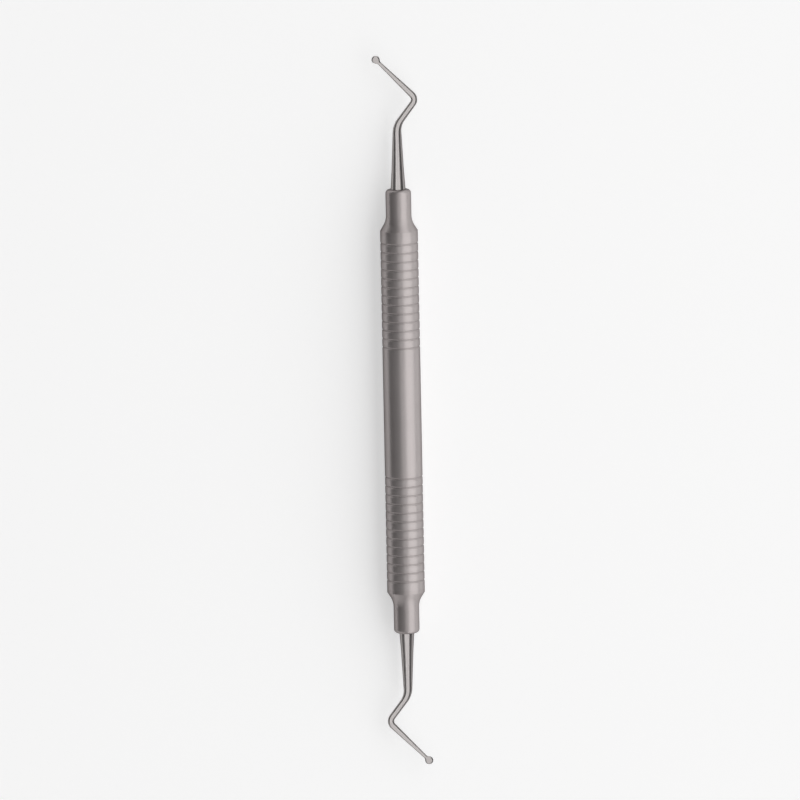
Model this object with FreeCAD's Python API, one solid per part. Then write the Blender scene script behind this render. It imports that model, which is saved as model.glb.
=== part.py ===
import FreeCAD, Part
import math
import os

# Double-ended gingival cord packer: a hollow ring-grooved handle with a bent packing tip at each end.
# Millimetres. The handle's axis is Y, the tips bend in the XY plane and Z is up.
# The origin is the middle of the handle, on its axis.

# Handle
handle_diameter = 9.5
handle_length = 113.2
handle_wall = 1.0
neck_length = 10.5
neck_diameter = 6.45
lip_radius = 1.0
flare_angle = 32.0
flare_fillet = 5.0

# Ring grooves, the same at both ends of the handle
groove_count = 13
groove_pitch = 2.2
groove_width = 0.6
groove_depth = 0.16
groove_to_shoulder = 3.1

# Sockets that hold the tips, and the taper between a socket and the bore
socket_diameter = 3.0
socket_length = 8.5
bore_taper_angle = 45.0

# Tang of a tip in its socket
tang_gap = 0.02
tang_end_gap = 0.5

# Centreline of a tip, measured from the end face of the handle
first_bend_reach = 16.2
first_bend_angle = 37.0
first_bend_radius = 5.5
middle_reach = 8.3
elbow_angle = 81.8
elbow_radius = 1.75
end_reach = 14.2

# Widths of a tip along its centreline
shank_base_diameter = 3.7
shank_root_diameter = 2.2
middle_start_diameter = 1.66
middle_end_diameter = 1.6
end_start_diameter = 1.55
end_neck_diameter = 0.76

# Flats ground on the front and the back of a tip
flat_start = 11.0
flat_knee = 17.0
flat_knee_thickness = 1.4
flat_knee_radius = 40.0

# Disc head
head_diameter = 2.05
head_thickness = 0.55
head_fillet = 1.2
head_bevel_width = 0.28
head_bevel_height = 0.17
tooth_count = 18
bare_teeth = 5
tooth_depth = 0.13
tooth_angle = 70.0

# Ways and centres that several functions share
ORIGIN = FreeCAD.Vector(0, 0, 0)
ACROSS = FreeCAD.Vector(1, 0, 0)
ALONG = FreeCAD.Vector(0, 1, 0)
UP = FreeCAD.Vector(0, 0, 1)
FULL_TURN = 360.0


def point(x, y, z=0.0):
    return FreeCAD.Vector(x, y, z)


def line(start, end):
    return Part.LineSegment(start, end).toShape()


def arc(start, middle, end):
    return Part.Arc(start, middle, end).toShape()


def rounded_corner(before, corner, after, radius):
    # The arc of this radius that is tangent to both lines which meet at the corner.
    back = (before - corner).normalize()
    ahead = (after - corner).normalize()
    half_angle = back.getAngle(ahead) / 2.0
    tangent = radius / math.tan(half_angle)
    bisector = (back + ahead).normalize()
    centre = corner + bisector * (radius / math.sin(half_angle))
    return arc(corner + back * tangent, centre - bisector * radius, corner + ahead * tangent)


def first_point(edge):
    return edge.valueAt(edge.FirstParameter)


def last_point(edge):
    return edge.valueAt(edge.LastParameter)


def turned(edges):
    # A closed outline at positive X, turned about the Y axis.
    face = Part.Face(Part.Wire(edges))
    return face.revolve(ORIGIN, ALONG, FULL_TURN)


def groove_corners(last_groove):
    # The corners of the V grooves of one end, in order from the middle of the handle.
    radius = handle_diameter / 2.0
    corners = []
    for number in range(groove_count):
        groove = last_groove - (groove_count - 1 - number) * groove_pitch
        corners.append(point(radius, groove - groove_width / 2.0))
        corners.append(point(radius - groove_depth, groove))
        corners.append(point(radius, groove + groove_width / 2.0))
    return corners


def handle_outside():
    # Half of the outer form, from the middle to one end, closed along the axis.
    radius = handle_diameter / 2.0
    end = handle_length / 2.0
    shoulder = end - neck_length
    neck = neck_diameter / 2.0
    flare = (radius - neck) / math.tan(math.radians(flare_angle))
    corner = point(neck, shoulder + flare)
    blend = rounded_corner(point(radius, shoulder), corner, point(neck, end), flare_fillet)
    lip = rounded_corner(corner, point(neck, end), point(0, end), lip_radius)
    corners = [point(0, end), point(0, 0), point(radius, 0)]
    corners += groove_corners(shoulder - groove_to_shoulder)
    corners += [point(radius, shoulder), first_point(blend)]
    edges = Part.makePolygon(corners).Edges
    edges += [blend, line(last_point(blend), first_point(lip)), lip, line(last_point(lip), point(0, end))]
    return turned(edges)


def handle_bore():
    # Half of the bore, with the socket of one tip.
    end = handle_length / 2.0
    bore = handle_diameter / 2.0 - handle_wall
    socket = socket_diameter / 2.0
    socket_bottom = end - socket_length
    taper = (bore - socket) / math.tan(math.radians(bore_taper_angle))
    corners = [
        point(0, 0),
        point(bore, 0),
        point(bore, socket_bottom - taper),
        point(socket, socket_bottom),
        point(socket, end),
        point(0, end),
        point(0, 0),
    ]
    return turned(Part.makePolygon(corners).Edges)


def at_other_end(shape):
    # Two mirrorings are half a turn about the Z axis.
    return shape.mirror(ORIGIN, ALONG).mirror(ORIGIN, ACROSS)


def both_ends(half):
    return half.fuse(at_other_end(half)).removeSplitter()


def make_handle():
    return both_ends(handle_outside()).cut(both_ends(handle_bore()))


def tip_centreline():
    # Straight shank, first bend, middle stretch, elbow and end stretch, up to the head's centre.
    outward = math.radians(first_bend_angle)
    inward = math.radians(first_bend_angle - elbow_angle)
    bend = point(0, first_bend_reach)
    elbow = bend + point(math.sin(outward), math.cos(outward)) * middle_reach
    head = elbow + point(math.sin(inward), math.cos(inward)) * end_reach
    first = rounded_corner(ORIGIN, bend, elbow, first_bend_radius)
    second = rounded_corner(bend, elbow, head, elbow_radius)
    return [
        line(ORIGIN, first_point(first)),
        first,
        line(last_point(first), first_point(second)),
        second,
        line(last_point(second), head),
    ]


def round_section(place, direction, diameter):
    circle = Part.Circle(place, direction, diameter / 2.0)
    return Part.Wire(circle.toShape())


def end_sections(spine, start_diameter, end_diameter):
    start_way = spine.tangentAt(spine.FirstParameter)
    end_way = spine.tangentAt(spine.LastParameter)
    start = round_section(first_point(spine), start_way, start_diameter)
    end = round_section(last_point(spine), end_way, end_diameter)
    return [start, end]


def straight_stretch(spine, start_diameter, end_diameter):
    # A round rod along a straight stretch, its diameter changing evenly.
    return Part.makeLoft(end_sections(spine, start_diameter, end_diameter), True, True)


def bent_stretch(spine, start_diameter, end_diameter):
    # A round rod along a bend, its diameter changing evenly.
    sweep = Part.BRepOffsetAPI.MakePipeShell(Part.Wire(spine))
    for section in end_sections(spine, start_diameter, end_diameter):
        sweep.add(section)
    sweep.build()
    sweep.makeSolid()
    return sweep.shape()


def straight_shank(length):
    # The taper between the handle and the first bend, with the tang below it.
    tang = socket_diameter / 2.0 - tang_gap
    bottom = tang_end_gap - socket_length
    corners = [
        point(0, bottom),
        point(tang, bottom),
        point(tang, 0),
        point(shank_base_diameter / 2.0, 0),
        point(shank_root_diameter / 2.0, length),
        point(0, length),
        point(0, bottom),
    ]
    return turned(Part.makePolygon(corners).Edges)


def head_outline(inset, height):
    # The disc with its neck blends seen from the front, drawn in by the inset.
    radius = head_diameter / 2.0 - inset
    neck = end_neck_diameter / 2.0 - inset
    fillet = head_fillet + inset
    side = neck + fillet
    reach = math.sqrt((radius + fillet) ** 2 - side ** 2)
    share = radius / (radius + fillet)
    half_blend = math.atan2(reach, side) / 2.0
    touch = point(side * share, -reach * share, height)
    bulge = point(side - fillet * math.cos(half_blend), fillet * math.sin(half_blend) - reach, height)
    root = point(neck, -reach, height)
    other_touch = point(-touch.x, touch.y, height)
    other_bulge = point(-bulge.x, bulge.y, height)
    other_root = point(-root.x, root.y, height)
    front = point(0, radius, height)
    return Part.Wire([
        arc(touch, front, other_touch),
        arc(other_touch, other_bulge, other_root),
        line(other_root, root),
        arc(root, bulge, touch),
    ])


def head_blank(head, direction):
    # The disc with its neck blends, bevelled all round, at the end of the centreline.
    face = head_thickness / 2.0
    rim = face - head_bevel_height
    sections = [
        head_outline(head_bevel_width, -face),
        head_outline(0.0, -rim),
        head_outline(0.0, rim),
        head_outline(head_bevel_width, face),
    ]
    return placed_at_head(Part.makeLoft(sections, True, True), head, direction)


def tooth_notches(head, direction):
    # V notches through the rim, spaced evenly, with none where the neck joins the head.
    radius = head_diameter / 2.0
    half_width = tooth_depth * math.tan(math.radians(tooth_angle / 2.0))
    overshoot = 2.0
    step = FULL_TURN / tooth_count
    notches = []
    for number in range(tooth_count - bare_teeth):
        v_shape = Part.Face(Part.makePolygon([
            point(0, radius - tooth_depth),
            point(half_width * overshoot, radius - tooth_depth + tooth_depth * overshoot),
            point(-half_width * overshoot, radius - tooth_depth + tooth_depth * overshoot),
            point(0, radius - tooth_depth),
        ]))
        v_shape.translate(UP * -head_thickness)
        notch = v_shape.extrude(UP * (2.0 * head_thickness))
        notch.rotate(ORIGIN, UP, (number - (tooth_count - bare_teeth - 1) / 2.0) * step)
        notches.append(placed_at_head(notch, head, direction))
    return notches


def placed_at_head(shape, head, direction):
    placed = shape.copy()
    placed.rotate(ORIGIN, UP, math.degrees(math.atan2(-direction.x, direction.y)))
    placed.translate(head)
    return placed


def flat_limits(shank_length, head):
    # A long wedge that is wider than the tip: what lies above and below it is ground away.
    share = flat_start / shank_length
    start_diameter = shank_base_diameter + (shank_root_diameter - shank_base_diameter) * share
    start = point(0, flat_start, start_diameter / 2.0)
    knee = point(0, flat_knee, flat_knee_thickness / 2.0)
    level = point(0, head.y - head_diameter, head_thickness / 2.0)
    blend = rounded_corner(start, knee, level, flat_knee_radius)
    back = knee + (start - knee) * ((flat_knee + socket_length) / (flat_knee - flat_start))
    front = point(0, head.y + head_diameter, level.z)
    upper = [line(back, first_point(blend)), blend, line(last_point(blend), level), line(level, front)]
    lower = [edge.mirror(ORIGIN, UP) for edge in upper]
    front_end = line(front, point(0, front.y, -front.z))
    back_end = line(back, point(0, back.y, -back.z))
    outline = Part.__sortEdges__(upper + lower + [front_end, back_end])
    face = Part.Face(Part.Wire(outline))
    side = middle_reach + end_reach
    face.translate(point(-side, 0))
    return face.extrude(point(2.0 * side, 0))


def make_tip():
    # One tip with its shank's base on the end face of the handle.
    shank, first, middle, elbow, end = tip_centreline()
    head = last_point(end)
    direction = end.tangentAt(end.LastParameter)
    stretches = [
        bent_stretch(first, shank_root_diameter, middle_start_diameter),
        straight_stretch(middle, middle_start_diameter, middle_end_diameter),
        bent_stretch(elbow, middle_end_diameter, end_start_diameter),
        straight_stretch(end, end_start_diameter, end_neck_diameter),
        head_blank(head, direction),
    ]
    rough = straight_shank(shank.Length).multiFuse(stretches)
    ground = rough.common(flat_limits(shank.Length, head))
    return ground.cut(tooth_notches(head, direction)).removeSplitter()


def save(name, shape):
    shape.exportStep(os.path.join("parts", name + ".step"))


os.makedirs("parts", exist_ok=True)
upper_tip = make_tip()
upper_tip.translate(ALONG * (handle_length / 2.0))
save("handle", make_handle())
save("packer_tip_upper", upper_tip)
save("packer_tip_lower", at_other_end(upper_tip))
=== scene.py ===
import math

import bpy
from bpy.props import FloatProperty, FloatVectorProperty, IntProperty, PointerProperty
from bpy.types import Operator, Panel, PropertyGroup
from mathutils import Matrix, Vector


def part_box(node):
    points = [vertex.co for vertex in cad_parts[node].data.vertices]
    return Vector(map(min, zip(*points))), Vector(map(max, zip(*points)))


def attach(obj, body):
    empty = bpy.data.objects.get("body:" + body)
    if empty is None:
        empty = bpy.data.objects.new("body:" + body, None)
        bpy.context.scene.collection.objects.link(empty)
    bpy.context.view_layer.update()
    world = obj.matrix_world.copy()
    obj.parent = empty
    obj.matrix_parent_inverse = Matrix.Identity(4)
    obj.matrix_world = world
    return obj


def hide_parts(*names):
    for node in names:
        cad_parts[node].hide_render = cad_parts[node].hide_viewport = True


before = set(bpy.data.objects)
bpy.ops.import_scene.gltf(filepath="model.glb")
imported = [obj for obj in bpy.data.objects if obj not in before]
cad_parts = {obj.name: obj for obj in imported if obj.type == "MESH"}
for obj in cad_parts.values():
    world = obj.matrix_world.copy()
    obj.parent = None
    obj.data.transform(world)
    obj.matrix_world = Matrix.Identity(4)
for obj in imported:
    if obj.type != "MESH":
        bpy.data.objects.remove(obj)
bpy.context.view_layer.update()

bl_info = {
    "name": "Gingival cord packer",
    "version": (1, 0, 0),
    "blender": (4, 5, 0),
    "location": "View3D > Sidebar > Cord packer",
    "description": "Dresses the packed cord packer: turned handle, ground tips, steel finishes and a studio",
    "category": "Object",
}

# The handle lies along Y and the tips bend in the XY plane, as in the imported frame.
HANDLE_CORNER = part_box("handle")[1]
TIP_NAMES = ("cord_tip_upper", "cord_tip_lower")

# Vertices that are nearer than this become one, in a mesh and where two mirrored halves meet.
DOUBLES = 1e-7
MIRROR_GAP = 1e-6


def length(name, description, default):
    return FloatProperty(name=name, description=description, default=default,
                         unit="LENGTH", subtype="DISTANCE")


def angle(name, description, degrees):
    return FloatProperty(name=name, description=description, default=math.radians(degrees), subtype="ANGLE")


def share(name, description, default):
    return FloatProperty(name=name, description=description, default=default,
                         min=0.0, max=1.0, subtype="FACTOR")


def amount(name, description, default):
    return FloatProperty(name=name, description=description, default=default)


def colour(name, description, default):
    return FloatVectorProperty(name=name, description=description, default=default, size=3, min=0.0, max=1.0,
                               subtype="COLOR")


class HandleSizes(PropertyGroup):
    """Sizes of the turned handle."""

    radius: length("Radius", "Outer radius of the handle", HANDLE_CORNER.x)
    half_length: length("Half length", "From the middle of the handle to an end face", HANDLE_CORNER.y)
    wall: length("Wall", "Thickness of the hollow handle's wall", 0.0010)
    neck_length: length("Neck length", "From the end face to the shoulder", 0.0105)
    neck_radius: length("Neck radius", "Outer radius of the neck", 0.003225)
    lip_radius: length("Lip radius", "Rounding of the neck's end", 0.0010)
    flare_angle: angle("Flare angle", "Slope of the flare between shoulder and neck", 32.0)
    flare_fillet: length("Flare fillet", "Radius of the blend between flare and neck", 0.0050)
    shoulder_radius: length("Shoulder radius", "Rounding of the shoulder's edge", 0.00015)
    groove_count: IntProperty(name="Grooves", description="Ring grooves near each end", default=13, min=1)
    groove_pitch: length("Groove pitch", "From one groove to the next", 0.0022)
    groove_width: length("Groove width", "Width of a groove at the surface", 0.0006)
    groove_depth: length("Groove depth", "Depth of a groove", 0.00016)
    groove_to_shoulder: length("Groove to shoulder", "From the last groove to the shoulder", 0.0031)
    ring_crown: length("Ring crown", "How far a ring bulges between its two edges", 0.000035)
    socket_radius: length("Socket radius", "Radius of the socket that holds a tip", 0.0015)
    socket_length: length("Socket length", "Depth of the socket", 0.0085)
    round_steps: IntProperty(name="Round steps", description="Steps round the handle", default=112, min=16)


class TipSizes(PropertyGroup):
    """Sizes of a working tip, measured from the end face of the handle."""

    tang_radius: length("Tang radius", "Radius of the tang in its socket", 0.00148)
    tang_length: length("Tang length", "Length of the tang in its socket", 0.0080)
    base_radius: length("Base radius", "Radius of the shank on the end face", 0.00187)
    break_radius: length("Break radius", "Radius of the shank where its taper eases", 0.00156)
    break_reach: length("Break reach", "From the end face to where the taper eases", 0.0046)
    root_radius: length("Root radius", "Radius where the first bend begins", 0.0011)
    first_reach: length("First bend reach", "From the end face to the corner of the first bend", 0.0162)
    first_angle: angle("First bend angle", "How far the first bend turns", 37.0)
    first_bend_radius: length("First bend radius", "Radius of the first bend's centreline", 0.0055)
    middle_reach: length("Middle reach", "From the first corner to the elbow's corner", 0.0083)
    middle_radius: length("Middle radius", "Radius of the rod after the first bend", 0.00083)
    elbow_angle: angle("Elbow angle", "How far the elbow turns back", 81.8)
    elbow_bend_radius: length("Elbow bend radius", "Radius of the elbow's centreline", 0.00175)
    elbow_radius: length("Elbow radius", "Radius of the rod at the elbow", 0.00079)
    end_reach: length("End reach", "From the elbow's corner to the centre of the head", 0.0142)
    neck_radius: length("Neck radius", "Radius of the rod where it meets the head", 0.00038)
    flat_start: length("Flat start", "From the end face to where the rod begins to flatten", 0.0110)
    flat_knee: length("Flat knee", "From the end face to where it flattens more slowly", 0.0170)
    knee_thickness: length("Knee thickness", "Thickness of the rod there", 0.0014)
    neck_thickness: length("Neck thickness", "Thickness of the rod inside the head", 0.00054)
    head_radius: length("Head radius", "Radius of the disc head", 0.001025)
    head_thickness: length("Head thickness", "Thickness of the disc head", 0.00055)
    head_fillet: length("Head fillet", "Radius of the blends between neck and disc", 0.0012)
    bevel_width: length("Bevel width", "Width of the bevel round the disc", 0.00028)
    bevel_height: length("Bevel height", "Height of the bevel round the disc", 0.00017)
    teeth: IntProperty(name="Teeth", description="Teeth that a whole turn of the rim would hold", default=18)
    bare_teeth: IntProperty(name="Bare teeth", description="Teeth left out where the neck joins", default=5)
    tooth_depth: length("Tooth depth", "Depth of a notch in the rim", 0.00013)
    tooth_angle: angle("Tooth angle", "Angle between the sides of a notch", 70.0)
    round_steps: IntProperty(name="Round steps", description="Steps round the tip", default=64, min=16)


class SteelFinish(PropertyGroup):
    """Colours, gloss and fine marks of the two steel finishes."""

    handle_colour: colour("Handle colour", "Bead-blasted steel of the handle", (0.470, 0.429, 0.424))
    worn_colour: colour("Worn colour", "Crests of the rings, rubbed by fingers", (0.515, 0.475, 0.470))
    # Dark tone for the bead grain, which is also the painted shade at the bottom of each groove.
    grain_dark_and_groove_shade: colour("Groove colour", "Steel at the bottom of a groove", (0.165, 0.148, 0.145))
    handle_roughness: share("Handle roughness", "Roughness of the bead-blasted steel", 0.34)
    handle_metal: share("Handle metal", "How much the blasted steel mirrors rather than scatters", 0.68)
    handle_gleam: share("Handle gleam", "Mirroring of the part of the blasted steel that scatters", 0.1)
    handle_patch: length("Handle patch", "Width of the softly rubbed patches on the handle", 0.006)
    grain_size: length("Grain size", "Width of the bead marks", 0.00018)
    grain_depth: length("Grain depth", "Depth of the bead marks", 0.00002)
    grain_relief: share("Grain relief", "Strength of the bead marks", 0.60)
    grain_shade: share("Grain shade", "How far the bead marks darken the steel", 0.22)
    grain_gloss: share("Grain gloss", "How far the roughness varies with the bead marks", 0.10)
    # Strength of the painted shade at the bottom of each groove.
    painted_groove_shade: share("Groove shade", "How far the steel darkens in a groove", 0.06)
    groove_gloss: share("Groove gloss", "How much rougher the steel is in a groove", 0.15)
    tip_colour: colour("Tip colour", "Polished steel of the tips", (0.430, 0.405, 0.398))
    tip_roughness: share("Tip roughness", "Roughness of the polished steel", 0.31)
    tip_patch: length("Tip patch", "Width of the more and less polished patches on a tip", 0.003)
    mark_size: length("Mark size", "Width of a grinding mark", 0.00012)
    mark_squeeze: share("Mark squeeze", "Width of a grinding mark as a share of its length", 0.06)
    mark_depth: length("Mark depth", "Depth of the grinding marks", 0.00001)
    mark_relief: share("Mark relief", "Strength of the grinding marks", 0.25)
    mark_tone: share("Mark tone", "Brightness of a grinding mark as a share of the steel's", 0.6)
    mark_shade: share("Mark shade", "How far the grinding marks darken the steel", 0.25)
    mark_gloss: share("Mark gloss", "How far the roughness varies with the grinding marks", 0.14)
    patch_gloss: share("Patch gloss", "How far the roughness varies from patch to patch", 0.06)
    edge_tint: colour("Edge tint", "What the steel mirrors at its very edges", (0.08, 0.08, 0.08))


class StageSettings(PropertyGroup):
    """Floor, studio walls, lamps and camera."""

    floor_radius: length("Floor radius", "Radius of the round floor", 14.0)
    floor_colour: colour("Floor colour", "Pale floor that the instrument lies on", (0.64, 0.64, 0.64))
    floor_glow: share("Floor glow", "Light that the pale floor adds where it is seen", 0.46)
    sky_colour: colour("Sky colour", "Dim studio overhead", (0.160, 0.160, 0.160))
    wall_colour: colour("Wall colour", "Dark studio walls along the instrument", (0.050, 0.050, 0.050))
    end_colour: colour("End colour", "Lighter studio wall past the lower end", (0.160, 0.160, 0.160))
    low_colour: colour("Low colour", "Soft light low at the left, past the lower end", (0.500, 0.500, 0.500))
    horizon_colour: colour("Horizon colour", "Pale strip where floor and walls meet", (0.90, 0.90, 0.90))
    top_strength: amount("Top strength", "Brightness of the narrow lamp overhead", 0.80)
    top_width: length("Top width", "Width of the narrow lamp overhead", 0.75)
    side_strength: amount("Side strength", "Brightness of the lamp at the side", 1.43)
    side_lean: angle("Side lean", "From straight above to the middle of the lamp at the side", 49.5)
    side_width: length("Side width", "Width of the lamp at the side", 3.5)
    tip_strength: amount("Tip strength", "Brightness of the tips' own lamp overhead", 1.42)
    tip_width: length("Tip lamp width", "Width of the tips' own lamp overhead", 4.2)
    lamp_distance: length("Lamp distance", "From the instrument to each lamp", 2.8)
    lamp_length: length("Lamp length", "Length of each lamp, along the instrument", 15.0)
    lamp_shift: length("Lamp shift", "Shift of the lamps along the instrument", -1.5)
    camera_tilt: angle("Camera tilt", "Lean of the view towards the upper tip", 9.5)
    camera_roll: angle("Camera roll", "Turn of the instrument in the picture", 1.133)
    camera_distance: length("Camera distance", "From the instrument to the camera", 4.0)
    pixel_size: length("Pixel size", "What one pixel of the picture covers", 0.0002517)
    pixels_wide: IntProperty(name="Pixels wide", description="Width of the picture", default=800)
    pixels_right: amount("Pixels right", "From the picture's centre to the instrument's middle", 2.5)
    pixels_down: amount("Pixels down", "From the picture's centre to the instrument's middle", 11.3)


# Modelling helpers

# Size of the plane that is merged into an outline's first vertex, so any size does
SEED_SIZE = 0.001


def start_outline(name, first_point):
    """A new piece in edit mode: one selected vertex at the first point, merged from a plane's corners."""
    bpy.ops.object.select_all(action="DESELECT")
    bpy.ops.mesh.primitive_plane_add(size=SEED_SIZE, location=first_point)
    piece = bpy.context.object
    piece.name = name
    piece.data.name = name
    bpy.ops.object.transform_apply(location=True, rotation=True, scale=True)
    bpy.ops.object.mode_set(mode="EDIT")
    bpy.ops.mesh.merge(type="CENTER")
    return piece


def draw_outline(name, points):
    """A piece in edit mode that is one line through the points."""
    piece = start_outline(name, points[0])
    for before, after in zip(points, points[1:]):
        bpy.ops.mesh.extrude_region_move(TRANSFORM_OT_translate={"value": after - before})
    bpy.ops.mesh.select_all(action="SELECT")
    return piece


def draw_plate(name, points, thickness):
    """A flat closed outline, filled and extruded by the thickness vector. It stays in edit mode."""
    piece = draw_outline(name, points + [points[0]])
    bpy.ops.mesh.remove_doubles(threshold=DOUBLES)
    bpy.ops.mesh.edge_face_add()
    bpy.ops.mesh.extrude_region_move(TRANSFORM_OT_translate={"value": thickness})
    close_mesh()
    return piece


def close_mesh():
    """Merges the doubles of the mesh in edit mode and turns its faces outwards."""
    bpy.ops.mesh.select_all(action="SELECT")
    bpy.ops.mesh.remove_doubles(threshold=DOUBLES)
    bpy.ops.mesh.normals_make_consistent(inside=False)


def select_faces(piece, wanted):
    """In edit mode, selects just the faces for which wanted(face) holds."""
    bpy.ops.mesh.select_all(action="DESELECT")
    bpy.ops.object.mode_set(mode="OBJECT")
    for face in piece.data.polygons:
        face.select = wanted(face)
    bpy.ops.object.mode_set(mode="EDIT")


def make_active(piece):
    """Makes a piece the only selected one and the active one, as the operators need it."""
    bpy.ops.object.select_all(action="DESELECT")
    piece.select_set(True)
    bpy.context.view_layer.objects.active = piece


def place_piece(piece, matrix):
    """Moves a piece and keeps its object at the origin, with the place in its mesh."""
    make_active(piece)
    piece.matrix_world = matrix
    bpy.ops.object.transform_apply(location=True, rotation=True, scale=True)


def apply_modifier(piece, kind, **settings):
    """Adds a modifier, sets it up and applies it."""
    make_active(piece)
    bpy.ops.object.modifier_add(type=kind)
    modifier = piece.modifiers[-1]
    for name, value in settings.items():
        setattr(modifier, name, value)
    bpy.ops.object.modifier_apply(modifier=modifier.name)


def combine(piece, other, operation):
    """Joins or cuts a piece with another, which is used up."""
    apply_modifier(piece, "BOOLEAN", operation=operation, object=other, solver="EXACT")
    bpy.data.objects.remove(other, do_unlink=True)
    if not piece.data.polygons:
        raise RuntimeError("nothing is left of " + piece.name)


def finish_piece(piece, material, node, sharp_degrees):
    """Shades a piece smooth but for its sharper edges, gives it its steel and hands it to the frame."""
    make_active(piece)
    bpy.ops.object.shade_smooth_by_angle(angle=math.radians(sharp_degrees))
    piece.data.materials.clear()
    piece.data.materials.append(material)
    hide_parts(node)
    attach(piece, "root")


def arc_points(centre, start, sweep, steps):
    """Points from start round centre by the sweep, anticlockwise seen from above, both ends included."""
    arm = start - centre
    return [centre + Matrix.Rotation(sweep * i / steps, 3, "Z") @ arm for i in range(steps + 1)]


# Handle

# Steps of the curves in the handle's profile
LIP_STEPS = 10
FLARE_FILLET_STEPS = 8
SHOULDER_STEPS = 4
GROOVE_STEPS = 8
RING_STEPS = 8

# Roundness of a groove's bottom, where 0 is a sharp V
GROOVE_SOFTNESS = 0.3

# Edges that turn further than this stay sharp, in degrees.
HANDLE_SHARP = 20.0


def groove_profile(sizes, middle):
    """One groove with a softly rounded bottom, as points at its place along the handle."""
    edge = math.hypot(1.0, GROOVE_SOFTNESS)
    points = []
    for step in range(GROOVE_STEPS + 1):
        u = 2.0 * step / GROOVE_STEPS - 1.0
        dip = (edge - math.hypot(u, GROOVE_SOFTNESS)) / (edge - GROOVE_SOFTNESS)
        radius = sizes.radius - sizes.groove_depth * dip
        points.append(Vector((radius, middle + u * sizes.groove_width / 2.0, 0.0)))
    return points


def ring_profile(sizes, start, end):
    """The crowned land between two grooves, without its two edges."""
    points = []
    for step in range(1, RING_STEPS):
        u = 2.0 * step / RING_STEPS - 1.0
        y = (start + end) / 2.0 + u * (end - start) / 2.0
        points.append(Vector((sizes.radius - sizes.ring_crown * u * u, y, 0.0)))
    return points


def handle_profile(sizes):
    """Half of the handle's section, from the bore at the middle to the outside at the middle."""
    end = sizes.half_length
    shoulder = end - sizes.neck_length
    bore = sizes.radius - sizes.wall
    socket_bottom = end - sizes.socket_length
    flare = (sizes.radius - sizes.neck_radius) / math.tan(sizes.flare_angle)
    points = [
        Vector((bore, 0.0, 0.0)),
        Vector((bore, socket_bottom - (bore - sizes.socket_radius), 0.0)),
        Vector((sizes.socket_radius, socket_bottom, 0.0)),
        Vector((sizes.socket_radius, end, 0.0)),
    ]
    lip_centre = Vector((sizes.neck_radius - sizes.lip_radius, end - sizes.lip_radius, 0.0))
    lip_start = lip_centre + Vector((0.0, sizes.lip_radius, 0.0))
    points += arc_points(lip_centre, lip_start, -math.pi / 2.0, LIP_STEPS)
    reach = sizes.flare_fillet * math.tan(sizes.flare_angle / 2.0)
    fillet_start = Vector((sizes.neck_radius, shoulder + flare + reach, 0.0))
    fillet_centre = fillet_start + Vector((sizes.flare_fillet, 0.0, 0.0))
    points += arc_points(fillet_centre, fillet_start, sizes.flare_angle, FLARE_FILLET_STEPS)
    edge = sizes.shoulder_radius
    slope = Vector((-math.sin(sizes.flare_angle), math.cos(sizes.flare_angle), 0.0))
    edge_reach = edge * math.tan(sizes.flare_angle / 2.0)
    edge_start = Vector((sizes.radius, shoulder, 0.0)) + slope * edge_reach
    edge_centre = Vector((sizes.radius - edge, shoulder - edge_reach, 0.0))
    points += arc_points(edge_centre, edge_start, -sizes.flare_angle, SHOULDER_STEPS)
    first_groove = shoulder - sizes.groove_to_shoulder
    grooves = [first_groove - i * sizes.groove_pitch for i in range(sizes.groove_count)]
    half = sizes.groove_width / 2.0
    for groove, following in zip(grooves, grooves[1:] + [None]):
        points += reversed(groove_profile(sizes, groove))
        if following is not None:
            points += reversed(ring_profile(sizes, following + half, groove - half))
    points.append(Vector((sizes.radius, 0.0, 0.0)))
    return points


class PACKER_OT_handle(Operator):
    """Turns the hollow ring-grooved handle from its profile"""

    bl_idname = "packer.handle"
    bl_label = "Handle"
    bl_options = {"REGISTER", "UNDO"}

    def execute(self, context):
        sizes = context.scene.packer_handle
        piece = draw_outline("ringed_handle", handle_profile(sizes))
        bpy.ops.mesh.spin(steps=sizes.round_steps, angle=2.0 * math.pi, center=(0, 0, 0), axis=(0, 1, 0))
        bpy.ops.mesh.select_all(action="SELECT")
        bpy.ops.mesh.remove_doubles(threshold=DOUBLES)
        bpy.ops.object.mode_set(mode="OBJECT")
        apply_modifier(piece, "MIRROR", use_axis=(False, True, False), merge_threshold=MIRROR_GAP)
        bpy.ops.object.mode_set(mode="EDIT")
        close_mesh()
        bpy.ops.object.mode_set(mode="OBJECT")
        finish_piece(piece, handle_steel(context.scene), "handle", HANDLE_SHARP)
        return {"FINISHED"}


# Tips

# Steps of the rod's stretches and bends and of the curves in the head's outline
SHANK_STEPS = 12
FIRST_BEND_STEPS = 14
MIDDLE_STEPS = 4
ELBOW_STEPS = 24
END_STEPS = 8
DISC_STEPS = 72
NECK_BLEND_STEPS = 10

# A notch cutter reaches this many notch depths out from the bottom of its notch.
CUTTER_REACH = 2.0

# A face whose normal has more than this of Z in it is one of the disc's two flat faces.
FLAT_FACE = 0.9

# Edges that turn further than this stay sharp, in degrees.
TIP_SHARP = 25.0


def corner_place(sizes):
    """Corners of a tip's centreline: first bend, elbow and head, with the ways that lead to the last two."""
    outward = Vector((math.sin(sizes.first_angle), math.cos(sizes.first_angle), 0.0))
    turned = sizes.first_angle - sizes.elbow_angle
    inward = Vector((math.sin(turned), math.cos(turned), 0.0))
    bend = Vector((0.0, sizes.first_reach, 0.0))
    elbow = bend + outward * sizes.middle_reach
    return bend, elbow, elbow + inward * sizes.end_reach, outward, inward


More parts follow.
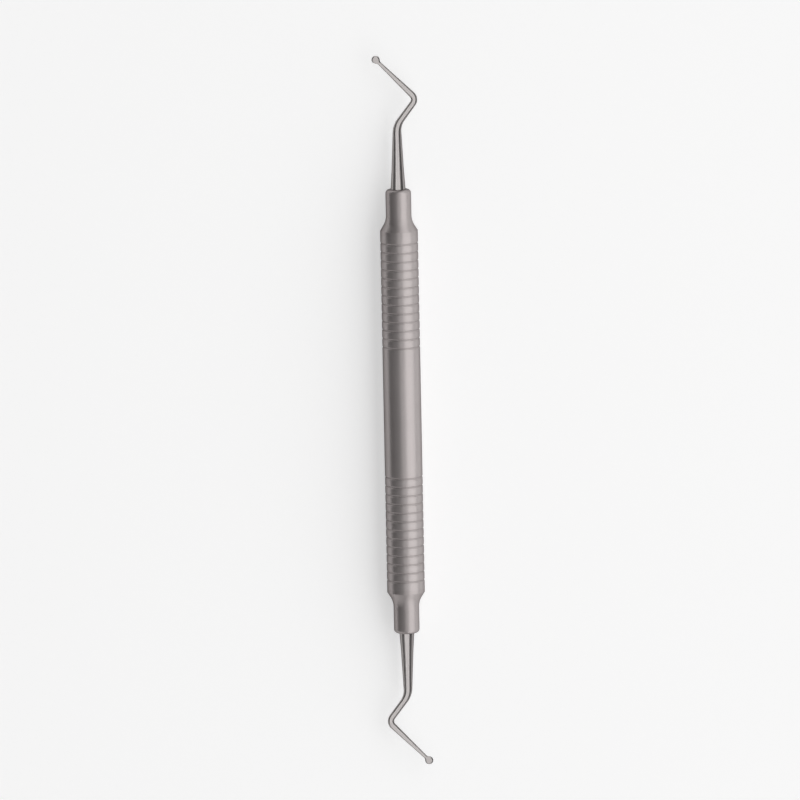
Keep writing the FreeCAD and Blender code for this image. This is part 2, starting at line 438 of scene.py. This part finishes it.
class RodEnd:
    """The selected open end of a rod that is being grown: its place, half width and half thickness."""

    def __init__(self, place, half_width, half_thickness):
        self.place = place
        self.half_width = half_width
        self.half_thickness = half_thickness

    def shape(self, half_width, half_thickness):
        """Scales the end to this half width and half thickness."""
        wide = half_width / self.half_width
        thick = half_thickness / self.half_thickness
        bpy.ops.transform.resize(value=(wide, wide, thick), center_override=self.place)
        self.half_width = half_width
        self.half_thickness = half_thickness

    def straight(self, way, distance):
        """Extrudes the end one step straight on."""
        bpy.ops.mesh.extrude_region_move(TRANSFORM_OT_translate={"value": way * distance})
        self.place = self.place + way * distance

    def bend(self, centre, clockwise):
        """Spins the end one step round the centre, clockwise seen from above."""
        bpy.ops.mesh.spin(steps=1, angle=clockwise, center=centre, axis=(0, 0, 1))
        self.place = centre + Matrix.Rotation(-clockwise, 3, "Z") @ (self.place - centre)


def grow_straight(sizes, end, way, distance, half_width, steps=1):
    """Grows the rod straight on until it has this half width."""
    first = end.half_width
    for step in range(1, steps + 1):
        end.straight(way, distance / steps)
        wide = first + (half_width - first) * step / steps
        end.shape(wide, half_thickness(sizes, end.place.y, wide))


def grow_bend(sizes, end, centre, clockwise, half_width, steps):
    """Grows the rod round the centre until it has this half width."""
    first = end.half_width
    for step in range(1, steps + 1):
        end.bend(centre, clockwise / steps)
        wide = first + (half_width - first) * step / steps
        end.shape(wide, half_thickness(sizes, end.place.y, wide))


def half_thickness(sizes, y, half_width):
    """Half the rod's thickness, which is round at first and flatter and flatter from where it is ground."""
    head = corner_place(sizes)[2]
    start_share = (sizes.flat_start - sizes.break_reach) / (sizes.first_reach - sizes.break_reach)
    start = sizes.break_radius + (sizes.root_radius - sizes.break_radius) * start_share
    knee = sizes.knee_thickness / 2.0
    if y < sizes.flat_knee:
        flat = start + (knee - start) * (y - sizes.flat_start) / (sizes.flat_knee - sizes.flat_start)
    else:
        flat = knee + (sizes.neck_thickness / 2.0 - knee) * (y - sizes.flat_knee) / (head.y - sizes.flat_knee)
    return min(half_width, flat)


def model_rod(sizes):
    """Tang, tapering shank, first bend, middle stretch, elbow and end stretch, grown as one rod."""
    _, _, _, outward, inward = corner_place(sizes)
    along = Vector((0.0, 1.0, 0.0))
    tang_start = Vector((0.0, -sizes.tang_length, 0.0))
    bpy.ops.object.select_all(action="DESELECT")
    bpy.ops.mesh.primitive_circle_add(vertices=sizes.round_steps, radius=sizes.tang_radius, fill_type="NGON",
                                      location=tang_start, rotation=(math.pi / 2.0, 0.0, 0.0))
    rod = bpy.context.object
    rod.name = "packer_tip"
    bpy.ops.object.transform_apply(location=True, rotation=True, scale=True)
    bpy.ops.object.mode_set(mode="EDIT")
    first_tangent = sizes.first_bend_radius * math.tan(sizes.first_angle / 2.0)
    elbow_tangent = sizes.elbow_bend_radius * math.tan(sizes.elbow_angle / 2.0)
    end = RodEnd(tang_start, sizes.tang_radius, sizes.tang_radius)
    end.straight(along, sizes.tang_length)
    # The same ring again, widened into the shoulder that sits on the handle's end face
    end.straight(along, 0.0)
    end.shape(sizes.base_radius, sizes.base_radius)
    grow_straight(sizes, end, along, sizes.break_reach, sizes.break_radius)
    to_bend = sizes.first_reach - first_tangent - sizes.break_reach
    grow_straight(sizes, end, along, to_bend, sizes.root_radius, SHANK_STEPS)
    centre = end.place + Vector((sizes.first_bend_radius, 0.0, 0.0))
    grow_bend(sizes, end, centre, sizes.first_angle, sizes.middle_radius, FIRST_BEND_STEPS)
    to_elbow = sizes.middle_reach - first_tangent - elbow_tangent
    grow_straight(sizes, end, outward, to_elbow, sizes.elbow_radius, MIDDLE_STEPS)
    centre = end.place + Vector((-outward.y, outward.x, 0.0)) * sizes.elbow_bend_radius
    grow_bend(sizes, end, centre, -sizes.elbow_angle, sizes.elbow_radius, ELBOW_STEPS)
    grow_straight(sizes, end, inward, sizes.end_reach - elbow_tangent, sizes.neck_radius, END_STEPS)
    close_mesh()
    bpy.ops.object.mode_set(mode="OBJECT")
    return rod


def head_points(sizes):
    """The disc with its neck blends seen from the front, neck downwards."""
    side = sizes.neck_radius + sizes.head_fillet
    reach = math.sqrt((sizes.head_radius + sizes.head_fillet) ** 2 - side ** 2)
    turn = math.atan2(reach, side)
    disc_start = Vector((math.cos(-turn), math.sin(-turn), 0.0)) * sizes.head_radius
    disc = arc_points(Vector((0.0, 0.0, 0.0)), disc_start, math.pi + 2.0 * turn, DISC_STEPS)
    left_centre = Vector((-side, -reach, 0.0))
    left = arc_points(left_centre, disc[-1], -turn, NECK_BLEND_STEPS)[1:]
    right_centre = Vector((side, -reach, 0.0))
    right_start = Vector((sizes.neck_radius, -reach, 0.0))
    right = arc_points(right_centre, right_start, -turn, NECK_BLEND_STEPS)[:-1]
    return disc + left + right


def model_head(sizes):
    """The disc head with its neck blends, bevelled all round on both faces."""
    rim = sizes.head_thickness / 2.0 - sizes.bevel_height
    outline = [point - Vector((0.0, 0.0, rim)) for point in head_points(sizes)]
    head = draw_plate("head_blank", outline, Vector((0.0, 0.0, 2.0 * rim)))
    for side in (1.0, -1.0):
        select_faces(head, lambda face: face.normal.z * side > FLAT_FACE)
        bpy.ops.mesh.inset(thickness=sizes.bevel_width, depth=sizes.bevel_height)
    bpy.ops.object.mode_set(mode="OBJECT")
    return head


def model_notches(sizes):
    """V-shaped cutters for the teeth of the rim, none of them where the neck joins the head."""
    low = sizes.head_radius - sizes.tooth_depth
    high = low + sizes.tooth_depth * CUTTER_REACH
    half_width = sizes.tooth_depth * math.tan(sizes.tooth_angle / 2.0) * CUTTER_REACH
    outline = [
        Vector((0.0, low, -sizes.head_thickness)),
        Vector((half_width, high, -sizes.head_thickness)),
        Vector((-half_width, high, -sizes.head_thickness)),
    ]
    first = draw_plate("notches", outline, Vector((0.0, 0.0, 2.0 * sizes.head_thickness)))
    bpy.ops.object.mode_set(mode="OBJECT")
    count = sizes.teeth - sizes.bare_teeth
    notches = [first]
    for _ in range(count - 1):
        notch = first.copy()
        notch.data = first.data.copy()
        bpy.context.collection.objects.link(notch)
        notches.append(notch)
    for number, notch in enumerate(notches):
        turn = (number - (count - 1) / 2.0) * 2.0 * math.pi / sizes.teeth
        place_piece(notch, Matrix.Rotation(turn, 4, "Z"))
    for notch in notches:
        notch.select_set(True)
    bpy.context.view_layer.objects.active = first
    bpy.ops.object.join()
    return first


def model_tip(sizes):
    """One tip on the end face at the origin: rod and head united and notched."""
    _, _, head_place, _, inward = corner_place(sizes)
    at_head = Matrix.Translation(head_place) @ Matrix.Rotation(math.atan2(-inward.x, inward.y), 4, "Z")
    tip = model_rod(sizes)
    head = model_head(sizes)
    notches = model_notches(sizes)
    place_piece(head, at_head)
    place_piece(notches, at_head)
    combine(tip, head, "UNION")
    combine(tip, notches, "DIFFERENCE")
    bpy.ops.object.mode_set(mode="EDIT")
    close_mesh()
    bpy.ops.object.mode_set(mode="OBJECT")
    return tip


class PACKER_OT_tips(Operator):
    """Models one ground tip and copies it to the other end of the handle"""

    bl_idname = "packer.tips"
    bl_label = "Tips"
    bl_options = {"REGISTER", "UNDO"}

    def execute(self, context):
        handle = context.scene.packer_handle
        upper = model_tip(context.scene.packer_tip)
        place_piece(upper, Matrix.Translation((0.0, handle.half_length, 0.0)))
        lower = upper.copy()
        lower.data = upper.data.copy()
        context.collection.objects.link(lower)
        place_piece(lower, Matrix.Rotation(math.pi, 4, "Z"))
        upper.name, lower.name = TIP_NAMES
        material = tip_steel(context.scene)
        for piece, node in ((upper, "packer_tip_upper"), (lower, "packer_tip_lower")):
            finish_piece(piece, material, node, TIP_SHARP)
        return {"FINISHED"}


# Finishes

# Distances inside the shoulder where the handle's ring pattern begins to fade and where it is gone
RING_FADE_START = 0.0012
RING_FADE_END = 0.0008

# Depths, as shares of a groove's depth, where its painted shade and added roughness are full and where they
# are gone
GROOVE_DARK = 0.9
GROOVE_CLEAR = 0.3

# The middle of a noise that runs from 0 to 1
NOISE_MIDDLE = 0.5


class Signal:
    """A shader socket that Python's operators work on, each adding its Math node."""

    def __init__(self, graph, socket):
        self.graph = graph
        self.socket = socket

    def math(self, operation, first, second):
        return self.graph.node("ShaderNodeMath", {"operation": operation}, {0: first, 1: second})

    def __add__(self, other):
        return self.math("ADD", self, other)

    def __sub__(self, other):
        return self.math("SUBTRACT", self, other)

    def __rsub__(self, other):
        return self.math("SUBTRACT", other, self)

    def __mul__(self, other):
        return self.math("MULTIPLY", self, other)

    def __pow__(self, other):
        return self.math("POWER", self, other)

    def __rpow__(self, other):
        return self.math("POWER", other, self)

    __radd__ = __add__
    __rmul__ = __mul__


class Graph:
    """The nodes of one material or world."""

    def __init__(self, owner):
        owner.use_nodes = True
        self.tree = owner.node_tree
        self.tree.nodes.clear()

    def node(self, kind, settings=None, inputs=None, output=0):
        """Adds a node, sets it up, fills its sockets and returns one of its outputs, if it has any."""
        made = self.tree.nodes.new(kind)
        for name, value in (settings or {}).items():
            setattr(made, name, value)
        for name, value in (inputs or {}).items():
            if isinstance(value, Signal):
                self.tree.links.new(value.socket, made.inputs[name])
            else:
                made.inputs[name].default_value = value
        return Signal(self, made.outputs[output]) if made.outputs else None

    def split(self, vector):
        """The x, y and z of a place or a way."""
        first = self.node("ShaderNodeSeparateXYZ", None, {0: vector})
        return [Signal(self, socket) for socket in first.socket.node.outputs]

    def noise(self, place, size, detail):
        """Noise from 0 to 1 whose blotches are about this many metres wide."""
        return self.node("ShaderNodeTexNoise", None, {"Vector": place, "Scale": 1.0 / size, "Detail": detail})

    def rise(self, value, low, high):
        """0 below low, 1 above high and a smooth step between them."""
        settings = {"interpolation_type": "SMOOTHSTEP"}
        return self.node("ShaderNodeMapRange", settings, {"Value": value, "From Min": low, "From Max": high})

    def mix(self, factor, first, second):
        """Mixes two colours, whose sockets on the Mix node are 6 and 7, and its colour output 2."""
        return self.node("ShaderNodeMix", {"data_type": "RGBA"}, {0: factor, 6: first, 7: second}, 2)


def opaque(rgb):
    """A colour with the alpha that shader sockets ask for."""
    return (rgb[0], rgb[1], rgb[2], 1.0)


def new_material(name):
    """A new material with its empty graph."""
    material = bpy.data.materials.new(name)
    return material, Graph(material)


def swing(noise, spread):
    """Values round zero that follow the noise, this far from lowest to highest."""
    return (noise - NOISE_MIDDLE) * spread


def handle_steel(scene):
    """Bead-blasted steel: a fine even grain, painted shade and more roughness at the bottom of the grooves,
    and slightly rubbed ring crests.
    """
    finish = scene.packer_finish
    sizes = scene.packer_handle
    material, graph = new_material("blasted_steel")
    place = graph.node("ShaderNodeTexCoord", output="Object")
    x, y, z = graph.split(place)
    reach = (x * x + z * z) ** 0.5
    along = (y * y) ** 0.5
    shoulder = sizes.half_length - sizes.neck_length
    body = 1.0 - graph.rise(along, shoulder - RING_FADE_START, shoulder - RING_FADE_END)
    dark = sizes.radius - sizes.groove_depth * GROOVE_DARK
    clear = sizes.radius - sizes.groove_depth * GROOVE_CLEAR
    # Mask of the groove bottoms, for painted shade in the colour and for more roughness.
    groove = (1.0 - graph.rise(reach, dark, clear)) * body
    crest = graph.rise(reach, sizes.radius - sizes.ring_crown, sizes.radius) * body
    patch = graph.noise(place, finish.handle_patch, 3.0)
    grain = graph.noise(place, finish.grain_size, 2.0)
    steel = graph.mix(crest * patch, opaque(finish.handle_colour), opaque(finish.worn_colour))
    tone = graph.mix(grain * finish.grain_shade, steel, opaque(finish.grain_dark_and_groove_shade))
    # Painted shade: the colour darkens at the bottom of each groove, where less light falls.
    tone = graph.mix(groove * finish.painted_groove_shade, tone, opaque(finish.grain_dark_and_groove_shade))
    roughness = swing(patch, finish.patch_gloss) + swing(grain, finish.grain_gloss)
    roughness = roughness + groove * finish.groove_gloss + finish.handle_roughness
    bump = graph.node("ShaderNodeBump", None, {
        "Strength": finish.grain_relief, "Distance": finish.grain_depth, "Height": grain})
    shader = graph.node("ShaderNodeBsdfPrincipled", None, {
        "Base Color": tone, "Metallic": finish.handle_metal, "Roughness": roughness, "Normal": bump,
        "Specular Tint": opaque(finish.edge_tint), "Specular IOR Level": finish.handle_gleam})
    graph.node("ShaderNodeOutputMaterial", None, {"Surface": shader})
    return material


def tip_steel(scene):
    """Polished steel with faint grinding marks."""
    finish = scene.packer_finish
    material, graph = new_material("polished_steel")
    place = graph.node("ShaderNodeTexCoord", output="Object")
    patch = graph.noise(place, finish.tip_patch, 2.0)
    stretch = (1.0, finish.mark_squeeze, 1.0)
    stretched = graph.node("ShaderNodeMapping", None, {"Vector": place, "Scale": stretch})
    marks = graph.noise(stretched, finish.mark_size, 2.0)
    mark_colour = opaque([channel * finish.mark_tone for channel in finish.tip_colour])
    tone = graph.mix(marks * finish.mark_shade, opaque(finish.tip_colour), mark_colour)
    roughness = swing(patch, finish.patch_gloss) + swing(marks, finish.mark_gloss) + finish.tip_roughness
    bump = graph.node("ShaderNodeBump", None, {
        "Strength": finish.mark_relief, "Distance": finish.mark_depth, "Height": marks})
    shader = graph.node("ShaderNodeBsdfPrincipled", None, {
        "Base Color": tone, "Metallic": 1.0, "Roughness": roughness, "Normal": bump,
        "Specular Tint": opaque(finish.edge_tint)})
    graph.node("ShaderNodeOutputMaterial", None, {"Surface": shader})
    return material


# Stage

FLOOR_CORNERS = 64

# Sines of the height over the horizon, between which the studio's tone changes
OVERHEAD = (0.40, 0.95)
HORIZON = (0.026, 0.034)

# Sines of the turn towards the lower end, between which the wall changes to its lighter tone
LOWER_END = (0.40, 0.80)

# The way to the middle of the low light, and the cosines of the angle from it where it begins and is full
LOW_LIGHT_WAY = Vector((-0.56, -0.79, 0.30)).normalized()
LOW_LIGHT = (0.80, 1.0)

# The camera's sensor in millimetres, and the nearest and farthest that it sees in metres
SENSOR_WIDTH = 36.0
NEAREST_SEEN = 0.1
FARTHEST_SEEN = 100.0


def floor_paint(stage):
    """Pale floor. Where it is seen, directly or in the steel, it adds a glow, and it keeps its shadows."""
    material, graph = new_material("pale_floor")
    strength = seen_rays(graph) * stage.floor_glow
    plain = graph.node("ShaderNodeBsdfDiffuse", None, {"Color": opaque(stage.floor_colour)})
    glow = graph.node("ShaderNodeEmission", None, {"Color": (1.0, 1.0, 1.0, 1.0), "Strength": strength})
    both = graph.node("ShaderNodeAddShader", None, {0: plain, 1: glow})
    graph.node("ShaderNodeOutputMaterial", None, {"Surface": both})
    return material


def seen_rays(graph):
    """1 for camera, glossy and transmission rays, and 0 for the others."""
    camera = graph.node("ShaderNodeLightPath", None, None, "Is Camera Ray")
    glossy = graph.node("ShaderNodeLightPath", None, None, "Is Glossy Ray")
    through = graph.node("ShaderNodeLightPath", None, None, "Is Transmission Ray")
    return camera.math("MAXIMUM", camera, glossy.math("MAXIMUM", glossy, through))


def make_floor(stage):
    """A round floor that touches the handle from below."""
    under_handle = (0.0, 0.0, -HANDLE_CORNER.x)
    bpy.ops.object.select_all(action="DESELECT")
    bpy.ops.mesh.primitive_circle_add(vertices=FLOOR_CORNERS, radius=stage.floor_radius, fill_type="NGON",
                                      location=under_handle)
    floor = bpy.context.object
    floor.name = "floor"
    bpy.ops.object.transform_apply(location=True, rotation=True, scale=True)
    floor.data.materials.append(floor_paint(stage))


def make_world(scene):
    """Dim sky, dark walls, lighter past the lower end, a low soft light at the left and a pale horizon."""
    stage = scene.packer_stage
    world = bpy.data.worlds.new("studio")
    scene.world = world
    graph = Graph(world)
    way = graph.node("ShaderNodeTexCoord", output="Generated")
    _, along, height = graph.split(way)
    strip = 1.0 - graph.rise(height, *HORIZON)
    settings = {"operation": "DOT_PRODUCT"}
    facing = graph.node("ShaderNodeVectorMath", settings, {0: way, 1: LOW_LIGHT_WAY}, "Value")
    tone = graph.mix(graph.rise(height, *OVERHEAD), opaque(stage.wall_colour), opaque(stage.sky_colour))
    tone = graph.mix(graph.rise(along * -1.0, *LOWER_END), tone, opaque(stage.end_colour))
    tone = graph.mix(graph.rise(facing, *LOW_LIGHT), tone, opaque(stage.low_colour))
    tone = graph.mix(strip, tone, opaque(stage.horizon_colour))
    sky = graph.node("ShaderNodeBackground", None, {"Color": tone, "Strength": 1.0})
    graph.node("ShaderNodeOutputWorld", None, {"Surface": sky})


def add_softbox(name, place, turn, across, along, strength):
    """A rectangular soft lamp of this size across and along, which isn't seen itself."""
    bpy.ops.object.light_add(type="AREA", location=place, rotation=turn)
    lamp = bpy.context.object
    lamp.name = name
    lamp.data.shape = "RECTANGLE"
    lamp.data.size = across
    lamp.data.size_y = along
    lamp.data.energy = strength * math.pi * across * along
    lamp.visible_camera = False
    return lamp


def link_to_tips(lamp, state):
    """Makes a lamp light the tips only, with INCLUDE, or all but the tips, with EXCLUDE."""
    linked = bpy.data.collections.new(lamp.name + "_tips")
    for name in TIP_NAMES:
        linked.objects.link(bpy.data.objects[name])
    for member in linked.collection_objects:
        member.light_linking.link_state = state
    lamp.light_linking.receiver_collection = linked


def add_lamps(stage):
    """Three long lamps: narrow overhead, at the side for all but the tips, and wide for the tips alone."""
    overhead = Vector((0.0, stage.lamp_shift, stage.lamp_distance))
    level = Vector((0.0, 0.0, 0.0))
    leaning = Vector((0.0, stage.side_lean, 0.0))
    beside = Vector((math.sin(stage.side_lean) * stage.lamp_distance, stage.lamp_shift,
                     math.cos(stage.side_lean) * stage.lamp_distance))
    along = stage.lamp_length
    add_softbox("top_softbox", overhead, level, stage.top_width, along, stage.top_strength)
    side = add_softbox("side_softbox", beside, leaning, stage.side_width, along, stage.side_strength)
    link_to_tips(side, "EXCLUDE")
    wide = add_softbox("tip_softbox", overhead, level, stage.tip_width, along, stage.tip_strength)
    link_to_tips(wide, "INCLUDE")


def make_camera(scene):
    """A long lens above the instrument, leaning towards the upper tip, without shift."""
    stage = scene.packer_stage
    away = Vector((0.0, math.sin(stage.camera_tilt), math.cos(stage.camera_tilt)))
    level_right = Vector((1.0, 0.0, 0.0))
    level_up = away.cross(level_right)
    right = level_right * math.cos(stage.camera_roll) - level_up * math.sin(stage.camera_roll)
    up = away.cross(right)
    place = away * stage.camera_distance
    place += (up * stage.pixels_down - right * stage.pixels_right) * stage.pixel_size
    bpy.ops.object.camera_add(location=place)
    camera = bpy.context.object
    camera.name = "picture_camera"
    turn = Matrix((right, up, away)).transposed()
    camera.rotation_euler = turn.to_euler()
    camera.data.sensor_width = SENSOR_WIDTH
    camera.data.lens = SENSOR_WIDTH * stage.camera_distance / (stage.pixels_wide * stage.pixel_size)
    camera.data.clip_start = NEAREST_SEEN
    camera.data.clip_end = FARTHEST_SEEN
    scene.camera = camera


class PACKER_OT_stage(Operator):
    """Adds the pale floor, the soft lamps, the studio round them and the camera"""

    bl_idname = "packer.stage"
    bl_label = "Stage"
    bl_options = {"REGISTER", "UNDO"}

    def execute(self, context):
        scene = context.scene
        stage = scene.packer_stage
        make_floor(stage)
        make_world(scene)
        add_lamps(stage)
        make_camera(scene)
        scene.view_settings.view_transform = "Standard"
        return {"FINISHED"}


class PACKER_PT_sidebar(Panel):
    """Sizes, finishes and steps of the cord packer"""

    bl_idname = "PACKER_PT_sidebar"
    bl_label = "Cord packer"
    bl_space_type = "VIEW_3D"
    bl_region_type = "UI"
    bl_category = "Cord packer"

    def draw(self, context):
        for settings, operator in (
            (context.scene.packer_handle, "packer.handle"),
            (context.scene.packer_tip, "packer.tips"),
            (context.scene.packer_stage, "packer.stage"),
        ):
            box = self.layout.box()
            for name in settings.__annotations__:
                box.prop(settings, name)
            box.operator(operator)
        box = self.layout.box()
        for name in context.scene.packer_finish.__annotations__:
            box.prop(context.scene.packer_finish, name)


CLASSES = (
    HandleSizes,
    TipSizes,
    SteelFinish,
    StageSettings,
    PACKER_OT_handle,
    PACKER_OT_tips,
    PACKER_OT_stage,
    PACKER_PT_sidebar,
)


def register():
    for item in CLASSES:
        bpy.utils.register_class(item)
    bpy.types.Scene.packer_handle = PointerProperty(type=HandleSizes)
    bpy.types.Scene.packer_tip = PointerProperty(type=TipSizes)
    bpy.types.Scene.packer_finish = PointerProperty(type=SteelFinish)
    bpy.types.Scene.packer_stage = PointerProperty(type=StageSettings)


def unregister():
    del bpy.types.Scene.packer_stage
    del bpy.types.Scene.packer_finish
    del bpy.types.Scene.packer_tip
    del bpy.types.Scene.packer_handle
    for item in reversed(CLASSES):
        bpy.utils.unregister_class(item)


def main():
    register()
    bpy.ops.packer.handle()
    bpy.ops.packer.tips()
    bpy.ops.packer.stage()


if __name__ == "__main__":
    main()
